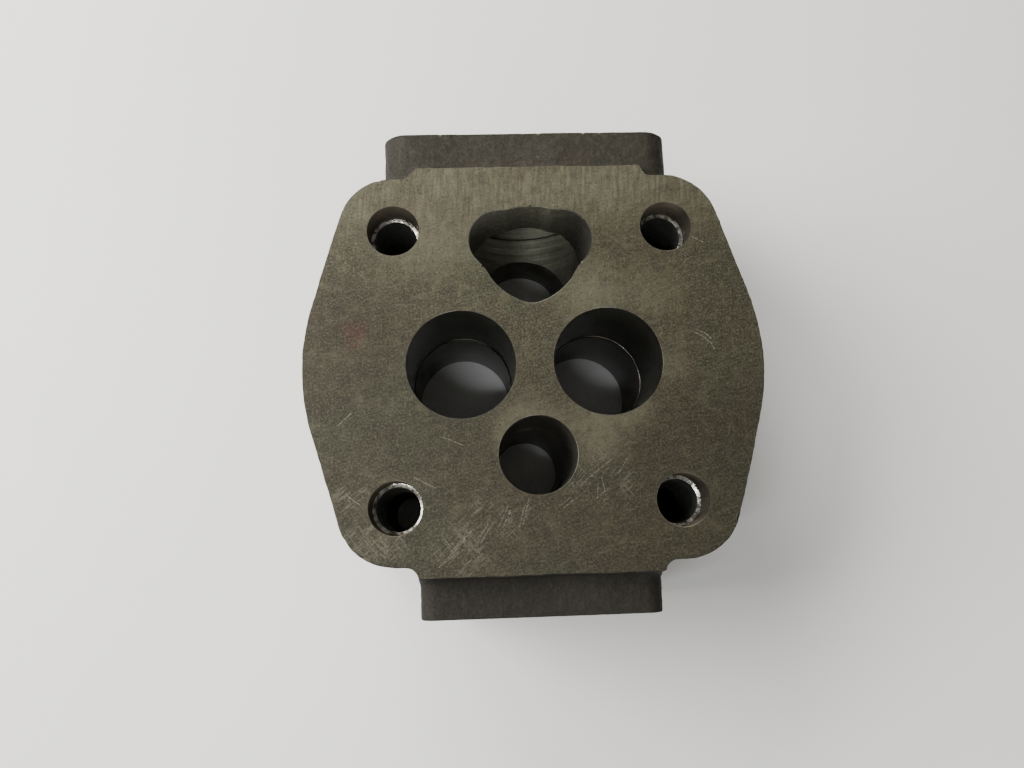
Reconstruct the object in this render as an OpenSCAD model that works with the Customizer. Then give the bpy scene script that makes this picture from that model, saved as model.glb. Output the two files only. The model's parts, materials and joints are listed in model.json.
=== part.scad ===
// Cast-iron cylinder head for a small reciprocating machine, stripped to the bare head.
// Millimetres. +Z is up out of the machined joint face, +Y is the side with the large port,
// +X is to the right when the small port faces the viewer.
// The origin is at the middle of the four bolt holes, on the underside.

/* [Head] */
// Height from the underside to the machined joint face
head_h = 80; // [76:1:88]
// Radius of the round sides
side_r = 71; // [69:0.5:73]
// Distance from the centre to the back pad's face
back_face_y = 77.3; // [76:0.1:79]
// Distance from the centre to the front pad's face
front_face_y = 76; // [75:0.1:78]
// Thickness of the flange under the joint face
top_flange_t = 19; // [15:1:22]
// Thickness of the flange at the underside
bottom_flange_t = 16; // [12:1:20]
// How far the waist between the flanges is set in
waist_inset = 5; // [2:0.5:6]

/* [Head bolts] */
// Distance from the centre lines to each bolt, along X and Y
bolt_at = 43; // [42:0.5:45]
// Radius of the boss around each bolt
boss_r = 17.5; // [16:0.5:19]
// Radius of the hole that the sleeve is pressed into
sleeve_seat_r = 8.1; // [8:0.1:8.6]
// Radius of the sleeve's bore and of the hole below it
bolt_hole_r = 6.85; // [6.6:0.05:7.1]
// How far the sleeve sits below the joint face
sleeve_drop = 10.5; // [8:0.5:14]
// Length of each sleeve
sleeve_l = 30; // [20:1:40]
// Width of the chamfer at both ends of the sleeve's bore
sleeve_chamfer = 0.8; // [0.3:0.1:1]

/* [Valve bores] */
// Distance of each valve bore from the centre line
valve_x = 22.65; // [22:0.05:23.5]
// Radius of the valve bores above their liners
valve_r = 16.8; // [16:0.1:17]
// Depth from the joint face to the top of each liner
liner_drop = 38.4; // [34:0.2:42]
// Radius of the liners' bore
liner_bore_r = 17.1; // [17.05:0.05:17.4]
// Outer radius of the liners
liner_outer_r = 19.5; // [19.2:0.1:20]
// Width of the chamfer at both ends of a liner's bore
liner_chamfer = 0.5; // [0.3:0.1:0.8]
// Radius of the lip at the top of each liner
lip_r = 16.5; // [16.3:0.1:16.7]
// Height of the lip
lip_h = 1.2; // [1:0.1:2]

/* [Small passage] */
// Distance of the small passage in front of the centre
passage_y = 28.3; // [27.5:0.1:29]
// Radius of the small passage
passage_r = 11.95; // [11.5:0.05:12.3]

/* [Ports] */
// Height of both port axes above the underside
port_z = 41; // [40:0.5:42]
// Distance from the centre to the inner ends of the pressed-in port bushings
bushing_y = 60; // [59:0.5:62]
// Width of the chamfer at both ends of a bushing's bore
bushing_chamfer = 0.6; // [0.3:0.1:1]
// Radius of the back bushing's bore
back_bore_r = 19.4; // [18.5:0.1:19.6]
// Outer radius of the back bushing
back_outer_r = 22.5; // [22:0.1:23.5]
// Radius of the chamber that the back port leads to
chamber_r = 19.8; // [19.7:0.1:20.2]
// Distance from the centre line to the chamber's blind end
chamber_end_y = 20.5; // [20:0.5:22]
// Radius of the front bushing's bore
front_bore_r = 10.6; // [10:0.1:10.8]
// Outer radius of the front bushing
front_outer_r = 13.5; // [13:0.1:14]
// Radius of the drilling behind the front bushing
front_drill_r = 11; // [10.8:0.1:11.2]

/* [Chamber window and floor hole] */
// Distance of the floor hole behind the centre
floor_hole_y = 35.7; // [35:0.1:36.5]
// Radius of the floor hole
floor_hole_r = 15.5; // [15:0.1:15.8]
// Radius of each of the window's two lobes
lobe_r = 9.75; // [9:0.05:10]
// Distance of each lobe's centre from the centre line
lobe_x = 9.6; // [9:0.1:9.8]
// Distance of the lobes' centres behind the middle of the head
lobe_y = 39.4; // [39:0.1:40]

/* [Port pads] */
// Half width of the back pad
back_pad_hw = 46.5; // [44:0.5:48]
// Half width of the front pad
front_pad_hw = 36.5; // [35:0.5:38]
// How far the cast tops of the pads lie below the joint face
pad_drop = 5.2; // [4:0.2:7]
// Corner radius of the back pad
back_pad_corner = 8; // [5:0.5:10]
// Corner radius of the front pad
front_pad_corner = 5; // [3:0.5:8]
// Distance from the centre to the ends of the joint face's two tongues
tongue_y = 64; // [62:0.5:66]
// Half width of the back tongue at its end
back_tongue_hw = 35.7; // [34:0.1:37]
// Half width of the back tongue where it leaves the shoulders
back_tongue_root_hw = 38; // [36:0.5:40]
// Radius of the tapped holes in the pads
tapped_r = 4.25; // [4:0.05:4.5]
// Depth of the tapped holes in the pads
tapped_l = 18; // [14:1:19]
// Distance of the back pad's tapped holes from the port axis, along X
back_tapped_x = 35; // [33:0.5:36]
// Distance of the front pad's tapped holes from the port axis, along X
front_tapped_x = 26; // [24:0.5:27]
// Distance of all the tapped holes from the port axes, along Z
tapped_z = 24; // [22:0.5:25]

/* [Hidden] */
// Length by which a cutting shape passes the face that it cuts
past = 1;
// Straight pieces in a round stretch of an outline
arc_n = 24;
// Facets of a drawn circle, for a true bore
$fn = 96;

shoulder_y = bolt_at + boss_r;
back_bushing_l = back_face_y - bushing_y;
front_bushing_l = front_face_y - bushing_y;
liner_top_z = head_h - liner_drop;
sleeve_top_z = head_h - sleeve_drop;
sleeve_foot_z = sleeve_top_z - sleeve_l;
pad_top_z = head_h - pad_drop;
pad_half_h = pad_top_z - port_z;
pad_root_y = bolt_at;
neck_r = tongue_y - shoulder_y;
chamber_cone_l = 10.5;
chamber_tip_r = 11;
// Angle from a bolt's diagonal to the point where the side's tangent leaves its boss
tangent_a = acos((side_r - boss_r) / norm([bolt_at, bolt_at]));
side_a = 45 - tangent_a;

CORNERS = [[-1, -1], [1, -1], [-1, 1], [1, 1]];

iron = [0.25, 0.24, 0.20];
steel = [0.62, 0.61, 0.57];
liner_iron = [0.18, 0.18, 0.17];
bushing_iron = [0.30, 0.31, 0.28];

// ---- outlines ----

function arc(c, r, a0, a1, n = arc_n) =
    [for (i = [0:n]) c + r * [cos(a0 + (a1 - a0) * i / n), sin(a0 + (a1 - a0) * i / n)]];

function reversed(p) = [for (i = [len(p) - 1:-1:0]) p[i]];

function both_sides(p) = concat(p, [for (q = reversed(p)) [-q[0], q[1]]]);

// Right half of the flange outline, from the front shoulder to the back shoulder
function side_half(inset) = concat(
    arc([bolt_at, -bolt_at], boss_r - inset, -90, -side_a),
    arc([0, 0], side_r - inset, -side_a, side_a),
    arc([bolt_at, bolt_at], boss_r - inset, side_a, 90));

// Right half of the joint face, which adds a tongue over each pad
function face_half() = concat(
    [[front_pad_hw, -tongue_y]],
    reversed(arc([front_pad_hw + neck_r, -tongue_y], neck_r, 90, 175, 8)),
    side_half(0),
    [[back_tongue_root_hw, shoulder_y], [back_tongue_hw, tongue_y]]);

// Right half of the chamber window, from its front tip to the bump at its back
function window_half() = concat(
    [[0, 18.9], [3, 19.5], [6.4, 21.2], [9.6, 23.6], [12.4, 26.7], [14.6, 30.4]],
    arc([lobe_x, lobe_y], lobe_r, -33, 86),
    [[7, lobe_y + lobe_r + 0.15], [4, lobe_y + lobe_r + 0.9], [0, lobe_y + lobe_r + 1.1]]);

module rounded_rectangle(hw, hh, r) {
    polygon(concat(
        arc([hw - r, hh - r], r, 0, 90, 8),
        arc([r - hw, hh - r], r, 90, 180, 8),
        arc([r - hw, r - hh], r, 180, 270, 8),
        arc([hw - r, r - hh], r, 270, 360, 8)));
}

// ---- shapes ----

// Stands its children on a port axis, drawn along +Z, so that they run towards +Y from y
module towards_back(y) {
    translate([0, y, port_z]) rotate([-90, 0, 0]) children();
}

// The same towards -Y, from the plane -y
module towards_front(y) {
    translate([0, -y, port_z]) rotate([90, 0, 0]) children();
}

module at_bolt(corner) {
    translate([corner[0] * bolt_at, corner[1] * bolt_at, 0]) children();
}

// Round sleeve along +Z with a chamfer at both ends of its bore
module sleeve(outer_r, bore_r, l, chamfer) {
    difference() {
        cylinder(r = outer_r, h = l);
        translate([0, 0, -past]) cylinder(r = bore_r, h = l + 2 * past);
        cylinder(r1 = bore_r + chamfer, r2 = bore_r, h = chamfer);
        translate([0, 0, l - chamfer]) cylinder(r1 = bore_r, r2 = bore_r + chamfer, h = chamfer);
    }
}

// Pad from the body out to its face, drawn along +Z
module pad(hw, corner, face_y) {
    linear_extrude(face_y - pad_root_y) rounded_rectangle(hw, pad_half_h, corner);
}

module tapped_holes(x) {
    for (sx = [-1, 1], sz = [-1, 1]) {
        translate([sx * x, sz * tapped_z, -tapped_l]) cylinder(r = tapped_r, h = tapped_l + past);
    }
}

// Blank of the head before machining
module blank() {
    linear_extrude(head_h) polygon(both_sides(side_half(waist_inset)));
    linear_extrude(bottom_flange_t) polygon(both_sides(side_half(0)));
    translate([0, 0, head_h - top_flange_t])
        linear_extrude(top_flange_t) polygon(both_sides(face_half()));
    towards_back(pad_root_y) pad(back_pad_hw, back_pad_corner, back_face_y);
    towards_front(pad_root_y) pad(front_pad_hw, front_pad_corner, front_face_y);
}

module valve_bores() {
    for (side = [-1, 1]) {
        translate([side * valve_x, 0, -past]) {
            cylinder(r = valve_r, h = head_h + 2 * past);
            cylinder(r = liner_outer_r, h = liner_top_z + past);
        }
    }
}

module bolt_holes() {
    for (corner = CORNERS) {
        at_bolt(corner) {
            translate([0, 0, -past]) cylinder(r = bolt_hole_r, h = head_h);
            translate([0, 0, sleeve_foot_z]) cylinder(r = sleeve_seat_r, h = head_h);
        }
    }
}

// Chamber with its tapered blind end, drawn along +Z from that end
module chamber() {
    rotate_extrude() polygon([
        [0, 0],
        [chamber_tip_r, 0],
        [chamber_r, chamber_cone_l],
        [chamber_r, bushing_y - chamber_end_y + past],
        [0, bushing_y - chamber_end_y + past]]);
}

module chamber_openings() {
    translate([0, 0, port_z]) linear_extrude(head_h) polygon(both_sides(window_half()));
    translate([0, floor_hole_y, -past]) cylinder(r = floor_hole_r, h = port_z + past);
}

module back_port() {
    towards_back(chamber_end_y) chamber();
    towards_back(bushing_y) cylinder(r = back_outer_r, h = back_bushing_l + past);
    towards_back(back_face_y) tapped_holes(back_tapped_x);
}

module front_port() {
    towards_front(passage_y) cylinder(r = front_drill_r, h = bushing_y - passage_y + past);
    towards_front(bushing_y) cylinder(r = front_outer_r, h = front_bushing_l + past);
    towards_front(front_face_y) tapped_holes(front_tapped_x);
}

// ---- sub-parts ----

module head_casting() {
    color(iron) difference() {
        blank();
        valve_bores();
        bolt_holes();
        chamber_openings();
        back_port();
        front_port();
        translate([0, -passage_y, -past]) cylinder(r = passage_r, h = head_h + 2 * past);
    }
}

// Liner with a narrow lip at its top, on which a valve's lower end stops
module valve_liner(side) {
    color(liner_iron) translate([side * valve_x, 0, 0]) difference() {
        cylinder(r = liner_outer_r, h = liner_top_z);
        translate([0, 0, -past]) cylinder(r = liner_bore_r, h = liner_top_z - lip_h + past);
        cylinder(r1 = liner_bore_r + liner_chamfer, r2 = liner_bore_r, h = liner_chamfer);
        translate([0, 0, -past]) cylinder(r = lip_r, h = liner_top_z + 2 * past);
        translate([0, 0, liner_top_z - liner_chamfer])
            cylinder(r1 = lip_r, r2 = lip_r + liner_chamfer, h = liner_chamfer);
    }
}

module bolt_sleeve(corner) {
    color(steel) at_bolt(corner) translate([0, 0, sleeve_foot_z])
        sleeve(sleeve_seat_r, bolt_hole_r, sleeve_l, sleeve_chamfer);
}

module back_port_bushing() {
    color(bushing_iron) towards_back(bushing_y)
        sleeve(back_outer_r, back_bore_r, back_bushing_l, bushing_chamfer);
}

module front_port_bushing() {
    color(bushing_iron) towards_front(bushing_y)
        sleeve(front_outer_r, front_bore_r, front_bushing_l, bushing_chamfer);
}

head_casting();
valve_liner(-1);  // left_valve_liner
valve_liner(1);  // right_valve_liner
bolt_sleeve(CORNERS[0]);  // front_left_bolt_sleeve
bolt_sleeve(CORNERS[1]);  // front_right_bolt_sleeve
bolt_sleeve(CORNERS[2]);  // back_left_bolt_sleeve
bolt_sleeve(CORNERS[3]);  // back_right_bolt_sleeve
back_port_bushing();
front_port_bushing();
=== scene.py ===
"""Looks of the cylinder head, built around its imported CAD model.

Meshes are worked out in millimetres and stored in metres. The casting starts as a rough blank, a
net over a signed distance, and is then machined as the real one is: faces cut flat, bores cut
round. The bushings, liners and sleeves are turned pieces that replace their CAD nodes.
"""

import json
import math

import bmesh
import bpy
import numpy as np
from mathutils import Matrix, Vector, noise


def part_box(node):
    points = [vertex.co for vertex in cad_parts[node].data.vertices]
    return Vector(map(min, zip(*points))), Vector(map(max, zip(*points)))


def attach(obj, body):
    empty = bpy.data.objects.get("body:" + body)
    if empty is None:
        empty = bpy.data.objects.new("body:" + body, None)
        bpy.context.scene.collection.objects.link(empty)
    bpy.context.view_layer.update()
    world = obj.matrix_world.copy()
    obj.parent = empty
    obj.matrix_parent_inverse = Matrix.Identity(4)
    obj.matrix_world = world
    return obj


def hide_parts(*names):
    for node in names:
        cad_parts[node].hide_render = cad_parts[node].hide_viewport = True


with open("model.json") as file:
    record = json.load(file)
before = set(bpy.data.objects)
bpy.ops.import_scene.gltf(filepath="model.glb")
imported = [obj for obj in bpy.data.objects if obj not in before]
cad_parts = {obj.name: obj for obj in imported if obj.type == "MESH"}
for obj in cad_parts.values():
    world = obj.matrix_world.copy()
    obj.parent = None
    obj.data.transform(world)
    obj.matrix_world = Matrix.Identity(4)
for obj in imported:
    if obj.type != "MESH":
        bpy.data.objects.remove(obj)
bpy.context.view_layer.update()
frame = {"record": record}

# ---- sizes, in millimetres ----

MM = 0.001
MOUNTS = {mount["name"]: mount for mount in frame["record"]["mounts"]}


def node_box(node):
    """Lowest and highest corner of a CAD node."""
    return [np.array(corner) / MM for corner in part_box(node)]


def node_radius(node):
    low, high = node_box(node)
    return (high[0] - low[0]) / 2


def mount_pos(name):
    return np.array(MOUNTS[name]["pos_m"]) / MM


def mount_dim(name, key):
    return MOUNTS[name]["dims"][key]


HEAD_LO, HEAD_HI = node_box("head_casting")
HEAD_H = HEAD_HI[2]
SIDE_R = HEAD_HI[0]
PAD_Y = {1: HEAD_HI[1], -1: -HEAD_LO[1]}

BOLT_AT = mount_dim("head_bolts", "spacing_x_mm") / 2
BOLT_R = mount_dim("head_bolts", "hole_r_mm")
SLEEVE_LO, SLEEVE_HI = node_box("back_right_bolt_sleeve")
SLEEVE_R = node_radius("back_right_bolt_sleeve")
SLEEVE_CHAMFER = 0.32

VALVE_X = mount_pos("right_valve_bore")[0]
VALVE_R = mount_dim("right_valve_bore", "r_mm")
LINER_BORE_R = mount_dim("right_liner_bore", "r_mm")
LINER_R = node_radius("right_valve_liner")
LINER_TOP = node_box("right_valve_liner")[1][2]
LINER_FOOT = 0.6
LIP_INSET, LIP_H, LIP_ROUND = 0.3, 1.2, 0.5

PASSAGE_Y = mount_pos("small_passage")[1]
PASSAGE_R = mount_dim("small_passage", "r_mm")

PORT_Z = mount_pos("back_port")[2]
BACK_BORE_R = mount_dim("back_port", "r_mm")
FRONT_BORE_R = mount_dim("front_port", "r_mm")
BACK_BUSH_R = node_radius("back_port_bushing")
FRONT_BUSH_R = node_radius("front_port_bushing")
BUSH_Y = node_box("back_port_bushing")[0][1]
BUSH_CHAMFER = 0.22

# Outline of the flanges and the joint face. A tongue's pair is its half width at root and tip.
BOSS_R = 17.5
SHOULDER_Y = BOLT_AT + BOSS_R
TOP_FLANGE_T = 19
BOTTOM_FLANGE_T = 16
WAIST_INSET = 5
TONGUE_Y = 64
BACK_TONGUE = (38.0, 35.7)

# A pad's pair is its half width and corner radius.
PAD_TOP = HEAD_H - 4.2
BACK_PAD = (46.5, 8.0)
FRONT_PAD = (36.5, 5.0)

# The chamber's inner end is a drill point: a blunt tip and a cone. LOBE is x, y and radius.
CHAMBER_R = 19.8
CHAMBER_END_Y = 20.5
CHAMBER_CONE_L = 10.5
CHAMBER_TIP = ((9, 0), (11, 0.7))
FLOOR_HOLE_Y = 35.7
FLOOR_HOLE_R = 15.5
FRONT_DRILL_R = 11.0
LOBE = (9.6, 39.4, 9.75)

# Holes of the pads, tapped nearly to their drilled points.
THREAD_PITCH = 1.5
THREAD_DEPTH = 0.75
TAPPED_L = 18
DRILL_POINT = 2
COUNTERSINK = 0.4

MOUTH_CHAMFER = 0.12
WINDOW_FLARE = 0.25
BUSH_SEAT_CHAMFER = 0.3
RIM_CHAMFER = 0.3
RIM_WELD = 0.35
SHARP_ANGLE = 32

# The blank: cell size of its net, stock left for machining, and how far its skin is set in to
# keep the ripples inside the CAD's box. A cutter goes past the surface by PAST.
NET_STEP = 1.15
STOCK = 3.0
SKIN_INSET = 0.12
EDGE_ROUNDING = 1.8
FLANGE_FILLET = 4
PAD_FILLET = 2.5
PAST = 1.0

# Waves of the as-cast skin: length, height and shift of each noise.
RIPPLES = ((17, 0.28, (0, 0, 0)), (5.5, 0.14, (7, 3, 1)), (1.9, 0.16, (2, 9, 4)))

# ---- outlines ----


def arc(centre, radius, start, end, steps=24):
    """Points on an arc between two angles in degrees."""
    angles = np.radians(np.linspace(start, end, steps + 1))
    return np.array(centre) + radius * np.c_[np.cos(angles), np.sin(angles)]


def both_sides(half):
    """Closes an outline by adding the mirror image of its right half."""
    return np.vstack([half, half[::-1] * (-1, 1)])


# Where the side's arc meets the arc around a bolt boss.
SIDE_ANGLE = 45 - math.degrees(math.acos((SIDE_R - BOSS_R) / math.hypot(BOLT_AT, BOLT_AT)))


def side_half(inset):
    """Right half of the flanges' outline, between the front and the back shoulder."""
    return np.vstack([
        arc((BOLT_AT, -BOLT_AT), BOSS_R - inset, -90, -SIDE_ANGLE),
        arc((0, 0), SIDE_R - inset, -SIDE_ANGLE, SIDE_ANGLE),
        arc((BOLT_AT, BOLT_AT), BOSS_R - inset, SIDE_ANGLE, 90),
    ])


def face_half():
    """Right half of the joint face, which has a tongue over each pad."""
    neck_r = TONGUE_Y - SHOULDER_Y
    front_root = arc((FRONT_PAD[0] + neck_r, -TONGUE_Y), neck_r, 175, 90, 8)
    front_tongue = [(FRONT_PAD[0], -TONGUE_Y)]
    back_tongue = [(BACK_TONGUE[0], SHOULDER_Y), (BACK_TONGUE[1], TONGUE_Y)]
    return np.vstack([front_tongue, front_root, side_half(0), back_tongue])


def face_outline():
    """The joint face: its two halves, with a small step in the back tongue's left slope."""
    outline = both_sides(face_half())
    slope = np.argmin(np.linalg.norm(outline - (-BACK_TONGUE[0], SHOULDER_Y), axis=1))
    step = [(-37.1, 62.3), (-38.4, 61.8)]
    return np.insert(outline, slope, step, axis=0)


def window_outline():
    """Closed outline of the chamber window: two lobes at the back and a blunt tip in front."""
    x, y, r = LOBE
    front = [(0, 18.9), (3, 19.5), (6.4, 21.2), (9.6, 23.6), (12.4, 26.7), (14.6, 30.4)]
    back = [(7, y + r + 0.15), (4, y + r + 0.9), (0, y + r + 1.1)]
    return both_sides(np.vstack([front, arc((x, y), r, -33, 86), back]))


def resample(points, spacing):
    """Points at an even spacing along a closed smooth curve through the outline."""
    keep = np.linalg.norm(points - np.roll(points, 1, axis=0), axis=1) > 1e-6
    points = points[keep]
    before, after = np.roll(points, 1, axis=0), np.roll(points, -1, axis=0)
    beyond = np.roll(points, -2, axis=0)
    t = np.linspace(0, 1, 12, endpoint=False)[None, :, None]
    p0, p1, p2, p3 = (p[:, None, :] for p in (before, points, after, beyond))
    smooth = 0.5 * (2 * p1 + (p2 - p0) * t + (2 * p0 - 5 * p1 + 4 * p2 - p3) * t**2
                    + (3 * p1 - p0 - 3 * p2 + p3) * t**3)
    smooth = smooth.reshape(-1, 2)
    closed = np.vstack([smooth, smooth[:1]])
    along = np.r_[0, np.cumsum(np.linalg.norm(np.diff(closed, axis=0), axis=1))]
    at = np.linspace(0, along[-1], int(along[-1] / spacing), endpoint=False)
    return np.c_[np.interp(at, along, closed[:, 0]), np.interp(at, along, closed[:, 1])]


WINDOW_RIM = resample(window_outline(), 1)

# ---- signed distances of the rough blank ----


def polygon_distance(x, y, points):
    """Distance to a closed outline, negative inside."""
    x, y = np.broadcast_arrays(x, y)
    nearest = np.full(x.shape, np.inf)
    inside = np.zeros(x.shape, bool)
    for (ax, ay), (bx, by) in zip(points, np.roll(points, -1, axis=0)):
        ex, ey = bx - ax, by - ay
        length2 = ex * ex + ey * ey
        if length2 < 1e-9:
            continue
        t = np.clip(((x - ax) * ex + (y - ay) * ey) / length2, 0, 1)
        nearest = np.minimum(nearest, (x - ax - t * ex) ** 2 + (y - ay - t * ey) ** 2)
        if ay != by:
            inside ^= ((ay > y) != (by > y)) & (x < ax + (y - ay) / (by - ay) * ex)
    return np.where(inside, -1, 1) * np.sqrt(nearest)


def rounded(a, b, radius):
    """What two distances have in common, with a rounded edge where they meet."""
    a, b = a + radius, b + radius
    outside = np.sqrt(np.maximum(a, 0) ** 2 + np.maximum(b, 0) ** 2)
    return np.minimum(np.maximum(a, b), 0) + outside - radius


def extruded(flat, along, low, high, rounding):
    """Distance to a flat outline extruded from low to high, with rounded edges."""
    return rounded(flat, np.abs(along - (low + high) / 2) - (high - low) / 2, rounding)


def filleted(a, b, radius):
    """Union of two distances with a fillet where they meet."""
    blend = np.clip(radius - np.abs(a - b), 0, None) / radius
    return np.minimum(a, b) - blend**2 * radius / 4


def blank_distance(x, y, z):
    """Distance to the rough casting, with machining stock on its faces."""
    waist = extruded(
        polygon_distance(x, y, both_sides(side_half(WAIST_INSET))), z, -STOCK, HEAD_H + STOCK, 1)
    flange = polygon_distance(x, y, both_sides(side_half(0)))
    base = extruded(flange, z, -STOCK, BOTTOM_FLANGE_T, EDGE_ROUNDING)
    top = extruded(polygon_distance(x, y, face_outline()),
                   z, HEAD_H - TOP_FLANGE_T, HEAD_H + STOCK, 1.2)
    upright = np.abs(z - PORT_Z) - (PAD_TOP - PORT_Z)
    back = extruded(rounded(np.abs(x) - BACK_PAD[0], upright, BACK_PAD[1]),
                    y, BOLT_AT, PAD_Y[1] + STOCK, 1)
    front = extruded(rounded(np.abs(x) - FRONT_PAD[0], upright, FRONT_PAD[1]),
                     y, -PAD_Y[-1] - STOCK, -BOLT_AT, 1)
    body = filleted(waist, base, FLANGE_FILLET)
    body = filleted(body, top, FLANGE_FILLET)
    body = filleted(body, back, PAD_FILLET)
    return filleted(body, front, PAD_FILLET)


def net_over(distance, low, high, step):
    """Quads over the zero level of a distance: one vertex in each cell that it crosses."""
    axes = [np.arange(a - step, b + 2 * step, step) for a, b in zip(low, high)]
    x, y, z = np.meshgrid(*axes, indexing="ij", sparse=True)
    field = distance(x, y, z)
    inside = field < 0
    shape = np.array(field.shape)
    corners = [np.array((i, j, k)) for i in (0, 1) for j in (0, 1) for k in (0, 1)]
    filled = sum(
        inside[i:i + shape[0] - 1, j:j + shape[1] - 1, k:k + shape[2] - 1].astype(np.int8)
        for i, j, k in corners)
    crossed = (filled > 0) & (filled < 8)
    cells = np.argwhere(crossed)
    index = np.full(crossed.shape, -1)
    index[crossed] = np.arange(len(cells))
    total, hits = np.zeros((len(cells), 3)), np.zeros(len(cells))
    for a in corners:
        for axis in range(3):
            if a[axis]:
                continue
            b = a + np.eye(3, dtype=int)[axis]
            fa, fb = field[tuple((cells + a).T)], field[tuple((cells + b).T)]
            cut = (fa < 0) != (fb < 0)
            share = np.where(cut, fa / np.where(cut, fa - fb, 1), 0)
            total += np.where(cut[:, None], cells + a + share[:, None] * (b - a), 0)
            hits += cut
    origin = np.array([axis[0] for axis in axes])
    verts = origin + step * total / hits[:, None]
    quads = []
    for axis in range(3):
        u, v = np.eye(3, dtype=int)[(axis + 1) % 3], np.eye(3, dtype=int)[(axis + 2) % 3]
        edges = np.argwhere(np.diff(inside, axis=axis))
        edges = edges[(edges @ u > 0) & (edges @ v > 0)]
        ring = [index[tuple((edges - d).T)] for d in (0 * u, u, u + v, v)]
        quad = np.stack(ring, axis=1)
        inward = ~inside[tuple(edges.T)]
        quad[inward] = quad[inward][:, ::-1]
        quads.append(quad)
    return verts, np.vstack(quads)


def snapped(verts, distance):
    """Moves vertices of a net onto the true surface, and gives the outward normals."""
    reach = 0.05
    here = distance(*verts.T)
    slope = np.stack(
        [distance(*(verts + reach * axis).T) - here for axis in np.eye(3)], axis=1) / reach
    slope /= np.maximum(np.linalg.norm(slope, axis=1), 1e-6)[:, None]
    return verts - slope * here[:, None], slope


def cast_ripple(point):
    """Height of the as-cast skin: slow waves of the mould and the sand's grain."""
    return sum(height * noise.noise(Vector(point) / length + Vector(shift))
               for length, height, shift in RIPPLES)


def parting_line(point):
    """Height of the low ridge that the two halves of the mould left at the height of the ports."""
    ridge = math.exp(-((point[2] - PORT_Z) / 0.8) ** 2)
    return ridge * (0.3 + 0.25 * noise.noise(Vector(point) / 9))


# ---- meshes ----


def make_mesh(name, verts, faces):
    mesh = bpy.data.meshes.new(name)
    mesh.from_pydata((np.asarray(verts) * MM).tolist(), [], [list(map(int, f)) for f in faces])
    mesh.update()
    return mesh


def make_object(name, mesh, material):
    mesh.materials.append(material)
    obj = bpy.data.objects.new(name, mesh)
    bpy.context.scene.collection.objects.link(obj)
    return obj


def ring(radius, height, steps, wave):
    """Points of one turned ring. wave may change its radii, from radius, height and angles."""
    angles = np.linspace(0, 2 * math.pi, steps, endpoint=False)
    radii = np.full(steps, radius) if wave is None else wave(radius, height, angles)
    return list(zip(radii * np.cos(angles), radii * np.sin(angles), [height] * steps))


def band(a, b, steps):
    """Quads between two rings of points, from the first point of each."""
    return [(a + i, a + j, b + j, b + i) for i, j in zip(range(steps), [*range(1, steps), 0])]


def lathed(profile, steps=128, wave=None):
    """Closed mesh from (radius, height) points turned about Z. The ends lie on the axis."""
    verts, rings = [], []
    for radius, height in profile:
        points = ring(radius, height, steps, wave) if radius else [(0, 0, height)]
        rings.append(range(len(verts), len(verts) + len(points)))
        verts += points
    faces = []
    for low, high in zip(rings, rings[1:]):
        quads = band(low[0], high[0], steps)
        if len(low) == 1:
            quads = [(low[0], c, d) for a, b, c, d in quads]
        elif len(high) == 1:
            quads = [(a, b, high[0]) for a, b, c, d in quads]
        faces += quads
    return np.array(verts), faces


def ring_lathed(profile, steps, wave):
    """Closed mesh from a closed loop of (radius, height) points turned about Z."""
    verts = [point for radius, height in profile for point in ring(radius, height, steps, wave)]
    faces = []
    for i in range(len(profile)):
        faces += band(i * steps, (i + 1) % len(profile) * steps, steps)
    return np.array(verts), faces


def turned(verts, facing):
    """Turns a shape drawn along +Z to run along +Y or -Y."""
    x, y, z = np.asarray(verts).T
    return np.c_[x, z, -y] if facing > 0 else np.c_[x, -z, y]


def joined(parts):
    """One mesh from several (verts, faces)."""
    verts, faces, start = [], [], 0
    for part_verts, part_faces in parts:
        verts.append(part_verts)
        faces += [tuple(start + i for i in face) for face in part_faces]
        start += len(part_verts)
    return np.vstack(verts), faces


def outward(mesh):
    """Makes a closed mesh's normals point out."""
    work = bmesh.new()
    work.from_mesh(mesh)
    bmesh.ops.recalc_face_normals(work, faces=work.faces)
    work.to_mesh(mesh)
    work.free()


def machined(obj, parts, material, operation="DIFFERENCE"):
    """Cuts shapes from a piece, or keeps what is in them. Cut faces take the new material."""
    mesh = make_mesh("cutter", *joined(parts))
    outward(mesh)
    cutter = make_object("cutter", mesh, material)
    cut = obj.modifiers.new("cut", "BOOLEAN")
    cut.operation = operation
    cut.solver = "MANIFOLD"
    cut.material_mode = "TRANSFER"
    cut.object = cutter
    graph = bpy.context.evaluated_depsgraph_get()
    result = bpy.data.meshes.new_from_object(obj.evaluated_get(graph), depsgraph=graph)
    obj.modifiers.clear()
    old = obj.data
    obj.data = result
    bpy.data.meshes.remove(old)
    bpy.data.objects.remove(cutter)


def edges_by_angle(mesh):
    """Smooth shading, with sharp edges around level faces and where faces meet at an angle."""
    work = bmesh.new()
    work.from_mesh(mesh)
    limit = math.radians(SHARP_ANGLE)
    for face in work.faces:
        face.smooth = True
    level = {face for face in work.faces if max(map(abs, face.normal)) > 0.99999}
    for edge in work.edges:
        joins_level = sum(face in level for face in edge.link_faces) == 1
        edge.smooth = edge.calc_face_angle(math.pi) < limit and not joins_level
    work.to_mesh(mesh)
    work.free()


# ---- materials ----


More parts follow.
